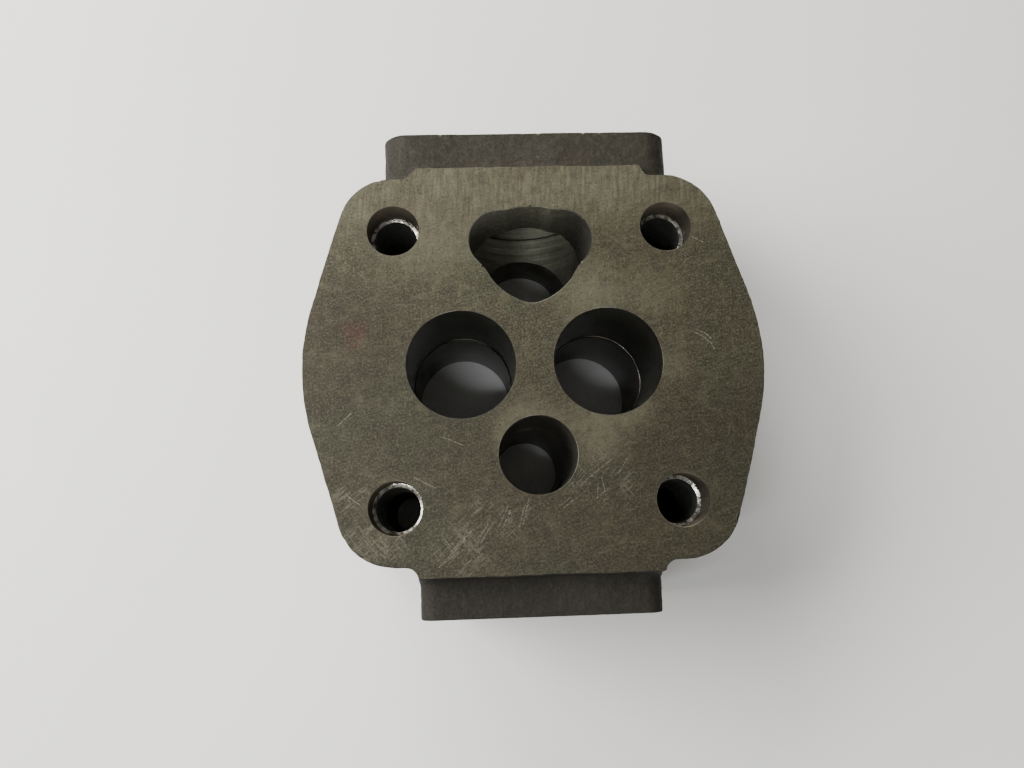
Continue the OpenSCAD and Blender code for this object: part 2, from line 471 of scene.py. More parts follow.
class Look:
    """A procedural material: small helpers that add nodes and link them."""

    def __init__(self, name, metallic, specular):
        self.material = bpy.data.materials.new(name)
        self.material.use_nodes = True
        self.nodes = self.material.node_tree.nodes
        self.links = self.material.node_tree.links
        self.shader = self.nodes["Principled BSDF"]
        self.shader.inputs["Metallic"].default_value = metallic
        self.shader.inputs["Specular IOR Level"].default_value = specular
        self.place = self.add("TexCoord").outputs["Object"]
        self.flat = self.vector("MULTIPLY", self.place, Vector((1, 1, 0)))

    def put(self, socket, value):
        """Links a socket or sets a value. A colour is given without its alpha."""
        if isinstance(value, bpy.types.NodeSocket):
            self.links.new(value, socket)
        elif socket.type == "RGBA":
            socket.default_value = (*value, 1)
        else:
            socket.default_value = value

    def add(self, kind, **inputs):
        """A new node with its named inputs linked or set."""
        node = self.nodes.new("ShaderNode" + kind)
        for name, value in inputs.items():
            self.put(node.inputs[name], value)
        return node

    def scaled(self, scale, turn=0):
        """The place, turned about Z by degrees and then stretched."""
        node = self.add("Mapping", Vector=self.place, Rotation=(0, 0, math.radians(turn)))
        node = self.add("Mapping", Vector=node.outputs["Vector"], Scale=scale)
        return node.outputs["Vector"]

    def noise(self, scale, detail=3, rough=0.55, place=None, warp=0):
        return self.add("TexNoise", Vector=place or self.place, Scale=scale, Detail=detail,
                        Roughness=rough, Distortion=warp).outputs["Fac"]

    def cells(self, scale):
        return self.add("TexVoronoi", Vector=self.place, Scale=scale).outputs["Distance"]

    def part(self, axis):
        return self.add("SeparateXYZ", Vector=self.place).outputs[axis]

    def operate(self, kind, operation, values):
        node = self.add(kind)
        node.operation = operation
        for socket, value in zip(node.inputs, values):
            self.put(socket, value)
        return node

    def calc(self, operation, *values):
        return self.operate("Math", operation, values).outputs[0]

    def vector(self, operation, *values):
        node = self.operate("VectorMath", operation, values)
        return node.outputs["Value" if operation in ("DOT_PRODUCT", "LENGTH") else "Vector"]

    def times(self, a, b):
        return self.calc("MULTIPLY", a, b)

    def most(self, *masks):
        """The highest of several masks."""
        highest = masks[0]
        for mask in masks[1:]:
            highest = self.calc("MAXIMUM", highest, mask)
        return highest

    def fade(self, value, low, high, to_low=0, to_high=1, linear=False):
        """Maps low..high to to_low..to_high, smoothly unless linear."""
        node = self.add("MapRange")
        node.interpolation_type = "LINEAR" if linear else "SMOOTHSTEP"
        for socket, number in zip(node.inputs[:5], (value, low, high, to_low, to_high)):
            self.put(socket, number)
        return node.outputs[0]

    def mix(self, share, a, b, kind="MIX"):
        node = self.add("Mix")
        node.data_type = "RGBA"
        node.blend_type = kind
        for slot, value in ((0, share), (6, a), (7, b)):
            self.put(node.inputs[slot], value)
        return node.outputs[2]

    def around(self, x, y, near, far):
        """1 within near of a point on the joint face, fading to 0 at far, in millimetres."""
        gap = self.vector("LENGTH", self.vector("SUBTRACT", self.flat, Vector((x, y, 0)) * MM))
        return self.fade(gap, near * MM, far * MM, 1, 0)

    def scratch(self, x0, y0, x1, y1, width):
        """1 on a straight scratch between two points of the joint face, in millimetres."""
        start, run = Vector((x0, y0, 0)) * MM, Vector((x1 - x0, y1 - y0, 0)) * MM
        offset = self.vector("SUBTRACT", self.flat, start)
        along = self.calc("DIVIDE", self.vector("DOT_PRODUCT", offset, run), run.length_squared)
        along = self.fade(along, 0, 1, linear=True)
        foot = self.operate("VectorMath", "SCALE", [run])
        self.put(foot.inputs["Scale"], along)
        gap = self.vector("LENGTH", self.vector("SUBTRACT", offset, foot.outputs[0]))
        return self.fade(gap, 0.4 * width * MM, width * MM, 1, 0)

    def bumps(self, *layers):
        """A normal from layers of (height, depth in millimetres, strength)."""
        below = {}
        for height, depth, strength in layers:
            node = self.add("Bump", Strength=strength, Distance=depth * MM, Height=height, **below)
            below = {"Normal": node.outputs["Normal"]}
        return below["Normal"]

    def edges(self, radius, toward=None):
        """1 on convex and concave edges, from how far the bevelled normal turns.

        With a direction given, only where the normal turns that way.
        """
        bevel = self.add("Bevel", Radius=radius * MM)
        bevel.samples = 4
        true = self.add("NewGeometry").outputs["Normal"]
        turn = self.vector("DOT_PRODUCT", bevel.outputs[0], true)
        edge = self.fade(turn, 0.98, 0.75)
        if toward is None:
            return edge
        side = self.vector("DOT_PRODUCT", bevel.outputs[0], Vector(toward))
        return self.times(edge, self.fade(side, 0.05, 0.45))

    def finish(self, color, rough, normal):
        for name, value in (("Base Color", color), ("Roughness", rough), ("Normal", normal)):
            self.put(self.shader.inputs[name], value)
        return self.material


def streaks(look, turn, fine, wide, low, high):
    """Parallel lines: noise that is fine across a direction and wide along it."""
    lines = look.noise(1, 2, 0.6, look.scaled((fine, wide, wide), turn))
    return look.fade(lines, low, high)


# Marks on the joint face: where each starts and ends, in millimetres.
SCRATCHES = [(-28.5, -22.3, -22.8, -24.8), (-37.4, -34.1, -31, -37.4), (-57, -39, -53.6, -41.5),
             (-60, -18, -56, -14.3), (-30.4, -60.5, -22.5, -52.6), (23.6, -34.7, 26.6, -30.4),
             (49.8, 8.3, 52.6, 6.7), (52.6, 6.7, 54.6, 4.9), (54.6, 4.9, 55.7, 2.9),
             (50.8, 9, 53.2, 7.9), (53.2, 7.9, 54.9, 6.1), (51.3, 39.2, 54.6, 37.4)]
SCRIBBLES = [(-19.2, -53.6, -15.8, -48.4), (-18, -53.9, -14.4, -48), (-12.4, -48.9, -9.7, -43.2),
             (-11.2, -49.2, -8.9, -44.5), (-5.4, -48.8, -3.4, -41.2), (-6.6, -49.6, -4.6, -43),
             (5.8, -43.6, 9.1, -41.4), (6.9, -44.4, 9.9, -42.1), (12, -38.1, 17.9, -33.2),
             (17.5, -37.6, 17, -42), (18.6, -35.6, 19.6, -40.8), (-27, -56.2, -20.3, -49.8)]
SCRATCH_W, SCRIBBLE_W = 0.16, 0.26

# Spots of the joint face: x, y, inner and outer radius, with a share for the half-clean ones.
WORN = [(21, -36, 3, 13), (-24, -56, 4, 15), (-14, -47, 3, 13), (-4, -45, 1, 9), (12, -36, 2, 10),
        (-50, -52, 4, 16), (-58, -38, 2, 12)]
CLEAN = [(18, 22, 2, 18), (18, -20, 2, 17), (-2, -22, 6, 16), (-30, 50, 8, 30), (27, -15, 3, 13)]
HALF_CLEAN = {(38, 23, 3, 14): 0.75, (42, -2, 2, 9): 0.6}
RUSTY = (-55.5, 8.5, 1, 9)
OILY = (-60, 0, 14, 38)


def worn_marks(look, grain):
    """Masks of the hatched wear on the joint face and of its single scratches."""
    worn = look.most(*[look.around(*spot) for spot in WORN])
    worn = look.times(worn, look.fade(look.noise(95, 3, 0.6), 0.36, 0.54))
    rising = streaks(look, 50, 1900, 150, 0.5, 0.64)
    falling = look.times(streaks(look, -38, 2000, 170, 0.5, 0.64),
                         look.fade(look.noise(140, 2), 0.42, 0.56))
    faint = look.times(streaks(look, 74, 1800, 120, 0.52, 0.66), 0.5)
    hatch = look.times(look.most(rising, falling), look.fade(grain, 0.34, 0.56, 0.25, 1))
    hatch = look.times(hatch, look.fade(worn, 0, 1, 0.1, 0.72))
    hatch = look.most(hatch, look.times(faint, 0.28))
    lines = look.most(*[look.scratch(*line, SCRATCH_W) for line in SCRATCHES])
    lines = look.times(lines, look.fade(grain, 0.4, 0.56, 0.15, 0.7))
    scribbles = look.most(*[look.scratch(*line, SCRIBBLE_W) for line in SCRIBBLES])
    scribbles = look.times(scribbles, look.fade(grain, 0.38, 0.62, 0.05, 0.5))
    return hatch, look.most(lines, scribbles)


def machined_iron():
    """The joint face: olive and brown iron with grain, grinding marks, wear and an oily patch,
    with painted shade darkening its front half and painted highlights along its rims.
    """
    look = Look("machined_iron", metallic=0.5, specular=0.4)
    patches = look.noise(38, 3, 0.6, warp=0.5)
    stains = look.noise(125, 4, 0.65, warp=0.3)
    mottle = look.noise(300, 3, 0.6, warp=0.4)
    grain = look.noise(1550, 4, 0.72)
    y = look.part(1)

    color = look.mix(look.fade(patches, 0.38, 0.62), (0.0425, 0.0345, 0.0205),
                     (0.0345, 0.0355, 0.0205))
    color = look.mix(look.fade(stains, 0.48, 0.66, 0, 0.7), color, (0.03, 0.026, 0.016))
    color = look.mix(look.fade(stains, 0.46, 0.32, 0, 0.65), color, (0.076, 0.07, 0.042))
    warm_patch = look.times(look.fade(look.noise(110, 4, 0.6), 0.42, 0.56, 0, 0.75), look.around(*RUSTY))
    color = look.mix(warm_patch, color, (0.072, 0.024, 0.02))
    pale_spots = [look.fade(y, 34 * MM, 56 * MM), *[look.around(*spot) for spot in CLEAN]]
    pale_spots += [look.times(look.around(*spot), share) for spot, share in HALF_CLEAN.items()]
    pale_spots = look.times(look.most(*pale_spots), look.fade(patches, 0.3, 0.6, 0.5, 1))
    color = look.mix(look.times(pale_spots, 0.7), color, (0.118, 0.11, 0.071))
    color = look.mix(look.fade(mottle, 0.5, 0.7, 0, 0.35), color, (0.026, 0.023, 0.015))
    color = look.mix(look.fade(mottle, 0.46, 0.3, 0, 0.35), color, (0.09, 0.082, 0.05))
    color = look.mix(look.fade(grain, 0.47, 0.66, 0, 0.75), color, (0.106, 0.098, 0.062))
    color = look.mix(look.fade(grain, 0.47, 0.31, 0, 0.7), color, (0.012, 0.0105, 0.0065))
    blotch = look.noise(340, 5, 0.75, warp=0.5)
    color = look.mix(1, color, look.fade(blotch, 0.36, 0.64, 1.13, 0.88), "MULTIPLY")
    ground = look.noise(1, 3, 0.65, look.scaled((1000, 110, 110), 3))
    ground = look.mix(look.fade(y, 40 * MM, 56 * MM, 0.3, 1), (1, 1, 1),
                      look.fade(ground, 0.34, 0.66, 0.8, 1.24))
    color = look.mix(1, color, ground, "MULTIPLY")

    hatch, lines = worn_marks(look, grain)
    color = look.mix(hatch, color, (0.16, 0.15, 0.11))
    color = look.mix(lines, color, (0.26, 0.248, 0.195))
    # Painted shade: darker towards the front, plus the oily patch at OILY; less of both where the
    # face is pale.
    painted_front_shade_and_oil = look.most(look.fade(y, 10 * MM, -24 * MM, 0, 0.3), look.times(look.around(*OILY), 0.32))
    painted_front_shade_and_oil = look.times(painted_front_shade_and_oil, look.fade(pale_spots, 0, 1, 1, 0.35))
    color = look.mix(painted_front_shade_and_oil, color, (0.008, 0.006, 0.003))
    # Lighter along every rim: edge wear and a painted highlight together.
    rim_wear_and_highlight = look.fade(stains, 0.42, 0.58, 0.1, 0.6)
    color = look.mix(look.times(look.edges(0.3), rim_wear_and_highlight), color, (0.14, 0.132, 0.098))
    # A painted highlight on the rim edges whose normals turn towards the back right.
    painted_rim_highlight = look.times(look.edges(0.3, (0.71, 0.71, 0)), rim_wear_and_highlight)
    color = look.mix(painted_rim_highlight, color, (0.34, 0.32, 0.25))

    normal = look.bumps((grain, 0.05, 0.8), (blotch, 0.02, 0.6),
                        (look.most(hatch, lines), -0.04, 0.6))
    return look.finish(color, look.fade(stains, 0.3, 0.7, 0.5, 0.62), normal)


def cast_skin(name, tone, side_shaded=False):
    """The rough as-cast surface: dark grey with sand grain and dusty high spots.

    It is darkened with painted shade on the front pad and at the back pad's left end. If it is
    side_shaded, its right-hand side is darkened with painted shade and its left-hand side made
    paler with painted light instead.
    """
    look = Look(name, metallic=0.1, specular=0.25)

    def toned(*color):
        return tuple(share * part for share, part in zip(tone, color))

    clouds = look.noise(45, 4, 0.6, warp=0.5)
    sand = look.noise(520, 4, 0.7)
    grain = look.noise(1300, 3, 0.75)
    color = look.mix(look.fade(clouds, 0.35, 0.7), toned(0.0235, 0.0215, 0.0165),
                     toned(0.033, 0.031, 0.0245))
    color = look.mix(look.fade(look.noise(140, 4, 0.6), 0.55, 0.72, 0, 0.35), color,
                     toned(0.041, 0.031, 0.021))
    color = look.mix(look.fade(sand, 0.45, 0.7, 0, 0.5), color, toned(0.054, 0.05, 0.039))
    color = look.mix(look.fade(grain, 0.5, 0.7, 0, 0.6), color, toned(0.014, 0.013, 0.011))
    dusty = look.times(look.fade(look.noise(560, 2, 0.5), 0.64, 0.73),
                       look.fade(look.noise(50, 2), 0.48, 0.68, 0, 0.7))
    color = look.mix(dusty, color, (0.1, 0.096, 0.08))
    rim = look.times(look.edges(0.5), look.fade(sand, 0.4, 0.6, 0.05, 0.4))
    color = look.mix(rim, color, (0.11, 0.104, 0.08))
    x, y = look.part(0), look.part(1)
    if side_shaded:
        # Painted shade on the right-hand side and painted light on the left-hand side.
        painted_shade = look.fade(x, 6 * MM, 17 * MM, 0, 0.86)
        color = look.mix(look.fade(x, -6 * MM, -18 * MM, 0, 0.22), color, (0.3, 0.295, 0.27))
    else:
        # Painted shade on the front pad and at the back pad's left end.
        far_left = look.times(look.fade(x, -37 * MM, -44 * MM, 0, 0.45),
                              look.fade(y, 58 * MM, 62 * MM))
        painted_shade = look.most(look.fade(y, -56 * MM, -66 * MM, 0, 0.62), far_left)
    color = look.mix(painted_shade, color, (0.006, 0.005, 0.004))
    pits = look.fade(look.cells(300), 0, 0.35)
    normal = look.bumps((sand, 0.35, 0.9), (grain, 0.1, 0.9), (pits, 0.1, 0.5))
    return look.finish(color, look.fade(grain, 0.3, 0.7, 0.62, 0.85), normal)


def bored_iron(name, dark, light, gloss, metallic=0.9, axis=2, line_scale=900, warm_patch=None,
               right_shade=None, left_light_color=None):
    """A bored or turned wall: oily iron with lines around the bore's axis.

    warm_patch is the place in millimetres of a brownish pool of painted light on the wall.
    right_shade is (bore x, bore radius, share) for a pair of bores whose right-hand walls are
    darkened with painted shade. left_light_color is the colour of the painted light on the
    chamber's left-hand wall.
    """
    look = Look(name, metallic=metallic, specular=0.2)
    stretch = [25, 25, 25]
    stretch[axis] = line_scale
    lines = look.noise(1, 3, 0.65, look.scaled(tuple(stretch)))
    blots = look.noise(70, 4, 0.6)
    fine = look.noise(900, 3, 0.7)
    color = look.mix(look.fade(blots, 0.35, 0.7), dark, light)
    color = look.mix(look.fade(lines, 0.4, 0.7, 0, 0.55), color, tuple(1.35 * c for c in light))
    color = look.mix(look.fade(fine, 0.48, 0.68, 0, 0.4), color, tuple(0.5 * c for c in dark))
    if warm_patch:
        # A brownish pool of painted light on the wall.
        gap = look.vector("LENGTH", look.vector("SUBTRACT", look.place, Vector(warm_patch) * MM))
        patch = look.times(look.fade(gap, 0.5 * MM, 6.5 * MM, 1, 0),
                           look.fade(look.noise(260, 4, 0.6), 0.42, 0.56))
        color = look.mix(patch, color, (0.85, 0.62, 0.42))
    if left_light_color:
        # Painted light on the chamber's left-hand wall.
        color = look.mix(look.fade(look.part(0), -3 * MM, -15 * MM, 0, 0.65), color, left_light_color)
    # Painted shade darkens the right-hand wall of each bore of the pair.
    for side in (-1, 1) if right_shade else ():
        x, radius, share = side * right_shade[0] * MM, right_shade[1] * MM, right_shade[2]
        dirt_and_shade = look.times(look.fade(look.part(0), x + 0.1 * radius, x + 0.9 * radius, 0, share),
                          look.fade(look.part(0), x + 1.8 * radius, x + 1.3 * radius))
        color = look.mix(dirt_and_shade, color, (0.006, 0.005, 0.003))
    color = look.mix(look.times(look.edges(0.3), 0.06), color, (0.22, 0.2, 0.15))
    normal = look.bumps((lines, 0.05, 0.7), (look.noise(500, 3), 0.03, 0.5))
    return look.finish(color, look.fade(lines, 0.3, 0.7, gloss, gloss + 0.12), normal)


def turned_steel(name, bright, dirty, dirt_from, dirt_scale, chatter_depth, pale_spots=()):
    """Turned steel with chatter marks, bright where it isn't dirty.

    pale_spots lists the (x, y, inner, outer) spots in millimetres where it keeps its bright
    colour;
    if any are given, painted shade darkens it everywhere else.
    """
    look = Look(name, metallic=0.9, specular=0.5)
    chatter = look.noise(1000, 3, 0.7)
    dirt_and_shade = look.noise(dirt_scale, 4, 0.7)
    color = look.mix(look.fade(dirt_and_shade, dirt_from, dirt_from + 0.2), bright, dirty)
    if pale_spots:
        # Painted shade darkens the steel everywhere but the listed spots, where its highlight
        # shows.
        color = look.mix(look.most(*[look.around(*spot) for spot in pale_spots]), (0.03, 0.029, 0.024),
                         color)
    return look.finish(color, look.fade(chatter, 0.3, 0.7, 0.16, 0.28),
                       look.bumps((chatter, chatter_depth, 0.9)))


def table_top():
    """The pale floor."""
    look = Look("pale_floor", metallic=0, specular=0.4)
    color = look.mix(look.noise(9, 3), (0.86, 0.85, 0.825), (0.9, 0.89, 0.865))
    return look.finish(color, look.fade(look.noise(40, 3), 0.3, 0.7, 0.45, 0.55),
                       look.bumps((look.noise(600, 3), 0.02, 0.3)))


# The numbers after the two colours of a wall are its roughness and how metallic it is.
MACHINED = machined_iron()
SKIN = cast_skin("cast_skin", (0.99, 0.96, 0.86))
CORED = cast_skin("cored_skin", (3.9, 4.2, 4), side_shaded=True)
BORE = bored_iron("bore_wall", (0.1, 0.099, 0.085), (0.15, 0.148, 0.127), 0.26)
PASSAGE = bored_iron("passage_wall", (0.11, 0.106, 0.088), (0.16, 0.154, 0.126), 0.28,
                     warm_patch=(-1, PASSAGE_Y + PASSAGE_R, PORT_Z + 6))
VALVE_WALL = bored_iron("valve_bore_wall", (0.094, 0.094, 0.08), (0.14, 0.138, 0.117), 0.28,
                        right_shade=(VALVE_X, VALVE_R, 0.6))
DEEP = bored_iron("deep_wall", (0.34, 0.34, 0.32), (0.46, 0.46, 0.43), 0.32)
CHAMBER = bored_iron("chamber_wall", (0.044, 0.044, 0.033), (0.074, 0.074, 0.056), 0.5, 0.45,
                     axis=1, line_scale=420, left_light_color=(0.22, 0.22, 0.175))
LINER = bored_iron("liner_wall", (0.13, 0.131, 0.125), (0.185, 0.186, 0.175), 0.28,
                   line_scale=1400, right_shade=(VALVE_X, VALVE_R, 0.5))
SEAT = bored_iron("seat_wall", (0.105, 0.091, 0.066), (0.15, 0.132, 0.098), 0.58, 0.1,
                  right_shade=(BOLT_AT, SLEEVE_R, 0.88))
BUSHING = bored_iron("bushing_wall", (0.044, 0.045, 0.034), (0.07, 0.071, 0.055), 0.48, 0.45,
                     axis=1, line_scale=1300)
STEEL = turned_steel("bright_steel", (0.4, 0.385, 0.34), (0.06, 0.053, 0.04), 0.42, 600, 0.07)
LIP_STEEL = turned_steel("lip_steel", (0.46, 0.42, 0.36), (0.15, 0.12, 0.1), 0.5, 60, 0.01,
                         [(3 - VALVE_X, 16, 3, 9), (VALVE_X + 9, 13, 6, 13),
                          (VALVE_X + 16, -3, 5, 11)])
FLOOR = table_top()

# ---- the casting ----


def rough_blank():
    """The casting before machining, with stock on its flat faces."""
    low = HEAD_LO - (0, STOCK, STOCK)
    high = HEAD_HI + (0, STOCK, STOCK)
    verts, faces = net_over(blank_distance, low, high, NET_STEP)
    verts, normals = snapped(verts, blank_distance)
    skin = np.array([cast_ripple(v) + parting_line(v) for v in verts])
    verts = verts + normals * (skin - SKIN_INSET)[:, None]
    verts[:, 0] = np.clip(verts[:, 0], -SIDE_R, SIDE_R)
    mesh = make_mesh("head_casting_skin", verts, faces)
    return make_object("cast_head", mesh, SKIN)


def rim_chamfered(mesh):
    """Breaks the edge all round the joint face, the underside and the pads' faces."""
    work = bmesh.new()
    work.from_mesh(mesh)

    def rim(axis, at):
        flat = {face for face in work.faces
                if all(abs(v.co[axis] / MM - at) < 1e-3 for v in face.verts)}
        return [e for e in work.edges if sum(f in flat for f in e.link_faces) == 1]

    for axis, at in ((2, 0.0), (2, HEAD_H), (1, HEAD_LO[1]), (1, HEAD_HI[1])):
        ends = list(dict.fromkeys(v for e in rim(axis, at) for v in e.verts))
        bmesh.ops.remove_doubles(work, verts=ends, dist=RIM_WELD * MM)
        bmesh.ops.bevel(work, geom=rim(axis, at), offset=RIM_CHAMFER * MM, segments=1,
                        affect="EDGES", profile=0.5, clamp_overlap=True, material=0)
    work.to_mesh(mesh)
    work.free()


def box_part(low, high):
    """Box between two corners."""
    x0, y0, z0 = low
    x1, y1, z1 = high
    verts = [(x, y, z) for x in (x0, x1) for y in (y0, y1) for z in (z0, z1)]
    faces = [(0, 1, 3, 2), (4, 6, 7, 5), (0, 4, 5, 1), (2, 3, 7, 6), (0, 2, 6, 4), (1, 5, 7, 3)]
    return np.array(verts), faces


def low_mouth(radius):
    """Start of a bore's profile, with a broken edge at the underside."""
    return [(0, -PAST), (radius + MOUTH_CHAMFER + PAST, -PAST), (radius, MOUTH_CHAMFER)]


def top_mouth(radius):
    """End of a bore's profile, with a broken edge at the joint face."""
    end = HEAD_H + PAST
    return [(radius, HEAD_H - MOUTH_CHAMFER), (radius + MOUTH_CHAMFER + PAST, end), (0, end)]


def small_passage():
    """The small through bore."""
    verts, faces = lathed(low_mouth(PASSAGE_R) + top_mouth(PASSAGE_R))
    return verts + (0, PASSAGE_Y, 0), faces


def valve_bore(x):
    """A valve bore and the wider seat of its liner below it."""
    seat = [(0, -PAST), (LINER_R, -PAST), (LINER_R, LINER_TOP), (VALVE_R, LINER_TOP)]
    verts, faces = lathed(seat + top_mouth(VALVE_R), 160)
    return verts + (x, 0, 0), faces


def bolt_hole(x, y):
    """A bolt hole and the wider seat of its sleeve above it."""
    step = [(BOLT_R, SLEEVE_LO[2]), (SLEEVE_R, SLEEVE_LO[2])]
    verts, faces = lathed(low_mouth(BOLT_R) + step + top_mouth(SLEEVE_R), 96)
    return verts + (x, y, 0), faces


def floor_hole():
    """The round hole in the chamber's floor, its wall a little chipped at the top."""
    def chipped(radius, height, angles):
        return [radius + 0.25 * noise.noise(Vector((math.cos(a) * 5, math.sin(a) * 5, height / 6)))
                * (height > 18) for a in angles]
    heights = [0.4, 6, 12, 18, 19, 20, 21, 22, 23, 24, 26, 28, 30, 33, 36, PORT_Z]
    profile = [(0, -PAST), (FLOOR_HOLE_R + MOUTH_CHAMFER + PAST, -PAST)]
    profile += [(FLOOR_HOLE_R, height) for height in heights] + [(0, PORT_Z)]
    verts, faces = lathed(profile, 144, chipped)
    return verts + (0, FLOOR_HOLE_Y, 0), faces


def chamber():
    """The chamber that the back port leads to, with the tool's uneven grooves around it."""
    cone_end = CHAMBER_END_Y + CHAMBER_CONE_L
    places = np.arange(cone_end, BUSH_Y + 0.01, 0.5)

    def grooved(radius, place, angles):
        if radius < CHAMBER_R or place > BUSH_Y:
            return np.full(len(angles), radius)
        depth = (place - cone_end) / (BUSH_Y - cone_end)
        fade = depth**1.5 * min(1, max(0, (BUSH_Y - 0.5 - place) / 1.5))
        cut = 0.22 * math.sin(place * 3.1) * math.sin(place * 1.3 + 0.7) - 0.1
        uneven = [0.6 + 1.1 * noise.noise(Vector((3 * math.cos(a), 3 * math.sin(a), place / 3)))
                  for a in angles]
        return radius + fade * cut * np.array(uneven)

    tip = [(radius, CHAMBER_END_Y + back) for radius, back in CHAMBER_TIP]
    profile = [(0, CHAMBER_END_Y), *tip, *[(CHAMBER_R, place) for place in places],
               (CHAMBER_R, BUSH_Y + 0.1), (0, BUSH_Y + 0.1)]
    verts, faces = lathed(profile, 144, grooved)
    return turned(verts, 1) + (0, 0, PORT_Z), faces


def bushing_seat(radius, facing):
    """The bore that a port's bushing is pressed into."""
    face, broken = PAD_Y[facing], BUSH_SEAT_CHAMFER
    verts, faces = lathed([
        (0, BUSH_Y), (radius, BUSH_Y), (radius, face - broken),
        (radius + broken + PAST, face + PAST), (0, face + PAST)])
    return turned(verts, facing) + (0, 0, PORT_Z), faces


def front_drilling():
    """The drilling from the front port to the small bore."""
    verts, faces = lathed([
        (0, -PASSAGE_Y), (FRONT_DRILL_R, -PASSAGE_Y), (FRONT_DRILL_R, BUSH_Y + 0.1),
        (0, BUSH_Y + 0.1)], 112)
    return turned(verts, -1) + (0, 0, PORT_Z), faces


def tapped_hole(x, z, facing, minor):
    """Cutter for a threaded blind hole with a countersunk mouth and a drilled point."""
    steps, rings = 32, 6
    face = PAD_Y[facing]
    bottom = face - TAPPED_L

    def thread(radius, height, angles):
        if height <= bottom + 1 or height >= face - COUNTERSINK:
            return np.full(len(angles), radius)
        phase = (height - bottom) / THREAD_PITCH - angles / (2 * math.pi)
        ridge = 1 - np.abs(2 * (phase % 1) - 1)
        run = min(1, (height - bottom - 1) / THREAD_PITCH)
        return minor + THREAD_DEPTH * run * np.clip(1.25 * ridge - 0.1, 0, 1)

    heights = np.arange(bottom + 1, face - COUNTERSINK, THREAD_PITCH / rings)
    major = minor + THREAD_DEPTH
    profile = [(0, bottom - DRILL_POINT), (minor, bottom), *[(minor, h) for h in heights],
               (major, face - COUNTERSINK), (major + 0.5 + PAST, face + PAST), (0, face + PAST)]
    verts, faces = lathed(profile, steps, thread)
    return turned(verts, facing) + (x, 0, PORT_Z + z), faces


def window():
    """The cast window from the joint face down into the chamber."""
    count = len(WINDOW_RIM)
    tangent = np.roll(WINDOW_RIM, -1, axis=0) - np.roll(WINDOW_RIM, 1, axis=0)
    side = np.c_[tangent[:, 1], -tangent[:, 0]] / np.linalg.norm(tangent, axis=1)[:, None]
    heights = [*np.arange(PORT_Z, HEAD_H - 0.6, NET_STEP), HEAD_H - WINDOW_FLARE, HEAD_H + PAST]
    verts = []
    for height in heights:
        depth = max(0, HEAD_H - height)
        flare = WINDOW_FLARE + PAST if height > HEAD_H else 0
        for (x, y), (nx, ny) in zip(WINDOW_RIM, side):
            out = flare + 0.8 * cast_ripple((x, y, height)) * min(1, depth / 3)
            verts.append((x + nx * out, y + ny * out, height))
    faces = []
    for level in range(len(heights) - 1):
        faces += band(level * count, (level + 1) * count, count)
    faces.append(tuple(range(count))[::-1])
    faces.append(tuple(range((len(heights) - 1) * count, len(heights) * count)))
    return np.array(verts), faces


def chip(place, size, seed):
    """A small broken-out hollow, to be cut from an edge."""
    work = bmesh.new()
    bmesh.ops.create_icosphere(work, subdivisions=2, radius=1)
    shift = Vector((seed, 3 * seed, 0))
    verts = [v.co * (1 + 0.35 * noise.noise(v.co * 1.3 + shift)) for v in work.verts]
    faces = [[v.index for v in face.verts] for face in work.faces]
    work.free()
    return np.array(verts) * size + place, faces


def edge_chips():
    """Chips along the joint face's rim, the window's rim and the back pad's upper edge."""
    rim = face_outline()
    places = [((*rim[int(share * len(rim))], HEAD_H), 0.45 + 0.35 * (index % 3))
              for index, share in enumerate((0.03, 0.11, 0.19, 0.34, 0.41, 0.55, 0.61, 0.7, 0.88))]
    places += [((*WINDOW_RIM[int(share * len(WINDOW_RIM))], HEAD_H), 0.35 + 0.25 * (index % 2))
               for index, share in enumerate((0.06, 0.17, 0.32, 0.47, 0.58, 0.79, 0.91))]
    places += [((x, PAD_Y[1], PAD_TOP), 0.9) for x in (-28, 4, 18.5, 24)]
    places += [((FRONT_PAD[0] + 0.5, -PAD_Y[-1], PORT_Z + 29), 1.8)]
    return [chip(place, (size, size, 0.7 * size), index)
            for index, (place, size) in enumerate(places)]


def cast_head():
    """The blank after all its cuts, in the order of the real work."""
    head = rough_blank()
    low, high = (-SIDE_R - PAST, HEAD_LO[1], 0), (SIDE_R + PAST, HEAD_HI[1], HEAD_H)
    machined(head, [box_part(low, high)], MACHINED, "INTERSECT")
    rim_chamfered(head.data)
    machined(head, [window()], CORED)
    machined(head, [chamber()], CHAMBER)
    machined(head, [front_drilling()], BORE)
    machined(head, [bushing_seat(BACK_BUSH_R, 1), bushing_seat(FRONT_BUSH_R, -1)], BORE)
    machined(head, [floor_hole()], BORE)
    machined(head, [small_passage()], PASSAGE)
    machined(head, [valve_bore(-VALVE_X), valve_bore(VALVE_X)], VALVE_WALL)
    bolt_holes = [bolt_hole(sx * BOLT_AT, sy * BOLT_AT) for sx in (-1, 1) for sy in (-1, 1)]
    machined(head, bolt_holes, SEAT)
    holes = []
    for name, facing in (("back_pad_bolts", 1), ("front_pad_bolts", -1)):
        x, z = mount_dim(name, "spacing_x_mm") / 2, mount_dim(name, "spacing_y_mm") / 2
        minor = mount_dim(name, "hole_r_mm")
        holes += [tapped_hole(sx * x, sz * z, facing, minor) for sx in (-1, 1) for sz in (-1, 1)]
    machined(head, holes, BORE)
    for hollow in edge_chips():
        machined(head, [hollow], MACHINED)
    edges_by_angle(head.data)
    return head


# ---- pieces pressed into the casting ----


def turned_piece(name, node, profile, place, facing, materials, wave=None, steps=128):
    """A round piece from a loop of (radius, height, material) points."""
    verts, faces = ring_lathed([p[:2] for p in profile], steps, wave)
    if facing:
        verts = turned(verts, facing)
    mesh = make_mesh(name, verts + place, faces)
    piece = make_object(name, mesh, materials[0])
    for material in materials[1:]:
        mesh.materials.append(material)
    for polygon in mesh.polygons:
        polygon.material_index = profile[polygon.index // steps][2]
    outward(mesh)
    edges_by_angle(mesh)
    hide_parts(node)
    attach(piece, "root")


